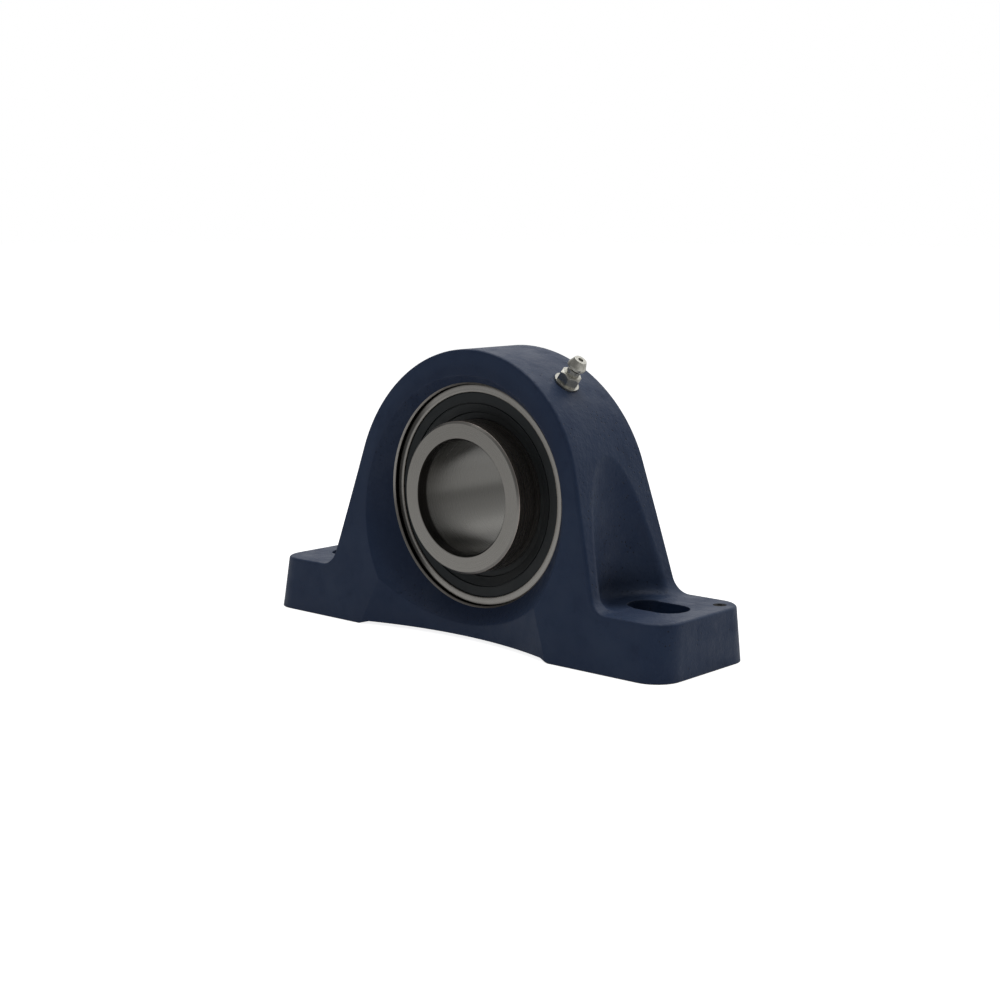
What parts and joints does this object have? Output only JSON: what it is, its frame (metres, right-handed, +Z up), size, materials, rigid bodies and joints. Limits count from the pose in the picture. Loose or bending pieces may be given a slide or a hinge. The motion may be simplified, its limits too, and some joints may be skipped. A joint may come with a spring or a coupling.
{
  "type": "pillow block bearing",
  "caption": "Cast pillow block with slotted feet that carries a sealed self-aligning insert ball bearing with a set screw collar and a grease nipple.",
  "frame": {"origin": "middle of the two-slot bolt pattern on the mounting plane, straight below the centre of the bearing", "axes": "+X along the base, +Y along the shaft from the narrow end of the inner ring to the wide end with the set screws, +Z up from the mounting plane"},
  "size_m": [0.18, 0.0552, 0.0995],
  "materials": {
    "housing_paint": "dark blue satin paint over a sand-cast surface, bright where machined",
    "ring_steel": "ground bearing steel",
    "ball_steel": "polished hardened steel",
    "cage_steel": "pressed sheet, satin",
    "core_steel": "pressed sheet, satin",
    "screw_steel": "black oxide",
    "spring_steel": "drawn wire",
    "seal_rubber": "matt moulded rubber",
    "nipple_zinc": "zinc plated and passivated"
  },
  "bodies": {
    "housing": {"housing": "housing_paint", "nipple_body": "nipple_zinc", "nipple_spring": "spring_steel"},
    "nipple_ball": {"nipple_ball": "ball_steel"},
    "locating_pin": {"locating_pin": "ball_steel"},
    "outer_ring": {"outer_ring": "ring_steel", "seal_front": "seal_rubber", "seal_rear": "seal_rubber", "seal_core_front": "core_steel", "seal_core_rear": "core_steel"},
    "inner_ring": {"inner_ring": "ring_steel"},
    "set_screw_1": {"set_screw_1": "screw_steel"},
    "set_screw_2": {"set_screw_2": "screw_steel"},
    "cage": {"cage_front": "cage_steel", "cage_rear": "cage_steel", "cage_rivets": "cage_steel"},
    "ball_1": {"ball_1": "ball_steel"},
    "ball_2": {"ball_2": "ball_steel"},
    "ball_3": {"ball_3": "ball_steel"},
    "ball_4": {"ball_4": "ball_steel"},
    "ball_5": {"ball_5": "ball_steel"},
    "ball_6": {"ball_6": "ball_steel"},
    "ball_7": {"ball_7": "ball_steel"},
    "ball_8": {"ball_8": "ball_steel"},
    "ball_9": {"ball_9": "ball_steel"}
  },
  "joints": [
    {"name": "insert_pitch", "type": "hinge", "parent": "housing", "child": "locating_pin", "pos_m": [0, 0, 0.0492], "axis": [1, 0, 0], "range_deg": [-3, 3]},
    {"name": "insert_yaw", "type": "hinge", "parent": "locating_pin", "child": "outer_ring", "pos_m": [0, 0, 0.0492], "axis": [0, 0, 1], "range_deg": [-3, 3]},
    {"name": "inner_spin", "type": "hinge", "parent": "outer_ring", "child": "inner_ring", "pos_m": [0, 0, 0.0492], "axis": [0, 1, 0], "continuous": true},
    {"name": "cage_spin", "type": "hinge", "parent": "outer_ring", "child": "cage", "pos_m": [0, 0, 0.0492], "axis": [0, 1, 0], "continuous": true},
    {"name": "ball_1_spin", "type": "hinge", "parent": "cage", "child": "ball_1", "pos_m": [0.03, 0, 0.0492], "axis": [0, 1, 0], "continuous": true},
    {"name": "ball_2_spin", "type": "hinge", "parent": "cage", "child": "ball_2", "pos_m": [0.02298, 0, 0.02992], "axis": [0, 1, 0], "continuous": true},
    {"name": "ball_3_spin", "type": "hinge", "parent": "cage", "child": "ball_3", "pos_m": [0.00521, 0, 0.01966], "axis": [0, 1, 0], "continuous": true},
    {"name": "ball_4_spin", "type": "hinge", "parent": "cage", "child": "ball_4", "pos_m": [-0.015, 0, 0.02322], "axis": [0, 1, 0], "continuous": true},
    {"name": "ball_5_spin", "type": "hinge", "parent": "cage", "child": "ball_5", "pos_m": [-0.02819, 0, 0.03894], "axis": [0, 1, 0], "continuous": true},
    {"name": "ball_6_spin", "type": "hinge", "parent": "cage", "child": "ball_6", "pos_m": [-0.02819, 0, 0.05946], "axis": [0, 1, 0], "continuous": true},
    {"name": "ball_7_spin", "type": "hinge", "parent": "cage", "child": "ball_7", "pos_m": [-0.015, 0, 0.07518], "axis": [0, 1, 0], "continuous": true},
    {"name": "ball_8_spin", "type": "hinge", "parent": "cage", "child": "ball_8", "pos_m": [0.00521, 0, 0.07874], "axis": [0, 1, 0], "continuous": true},
    {"name": "ball_9_spin", "type": "hinge", "parent": "cage", "child": "ball_9", "pos_m": [0.02298, 0, 0.06848], "axis": [0, 1, 0], "continuous": true},
    {"name": "set_screw_1_travel", "type": "slide", "parent": "inner_ring", "child": "set_screw_1", "axis": [-0.866, 0, 0.5], "range_m": [-0.0002, 0.003]},
    {"name": "set_screw_2_travel", "type": "slide", "parent": "inner_ring", "child": "set_screw_2", "axis": [0.866, 0, 0.5], "range_m": [-0.0002, 0.003]},
    {"name": "nipple_ball_press", "type": "slide", "parent": "housing", "child": "nipple_ball", "axis": [-0.6088, 0, -0.7934], "range_m": [0, 0.0008], "stiffness_N_per_m": 300, "deforming": ["nipple_spring"]}
  ],
  "couplings": [
    {"joint": "cage_spin", "follows": "inner_spin", "ratio": 0.4},
    {"joint": "ball_1_spin", "follows": "inner_spin", "ratio": -2.4},
    {"joint": "ball_2_spin", "follows": "inner_spin", "ratio": -2.4},
    {"joint": "ball_3_spin", "follows": "inner_spin", "ratio": -2.4},
    {"joint": "ball_4_spin", "follows": "inner_spin", "ratio": -2.4},
    {"joint": "ball_5_spin", "follows": "inner_spin", "ratio": -2.4},
    {"joint": "ball_6_spin", "follows": "inner_spin", "ratio": -2.4},
    {"joint": "ball_7_spin", "follows": "inner_spin", "ratio": -2.4},
    {"joint": "ball_8_spin", "follows": "inner_spin", "ratio": -2.4},
    {"joint": "ball_9_spin", "follows": "inner_spin", "ratio": -2.4}
  ]
}
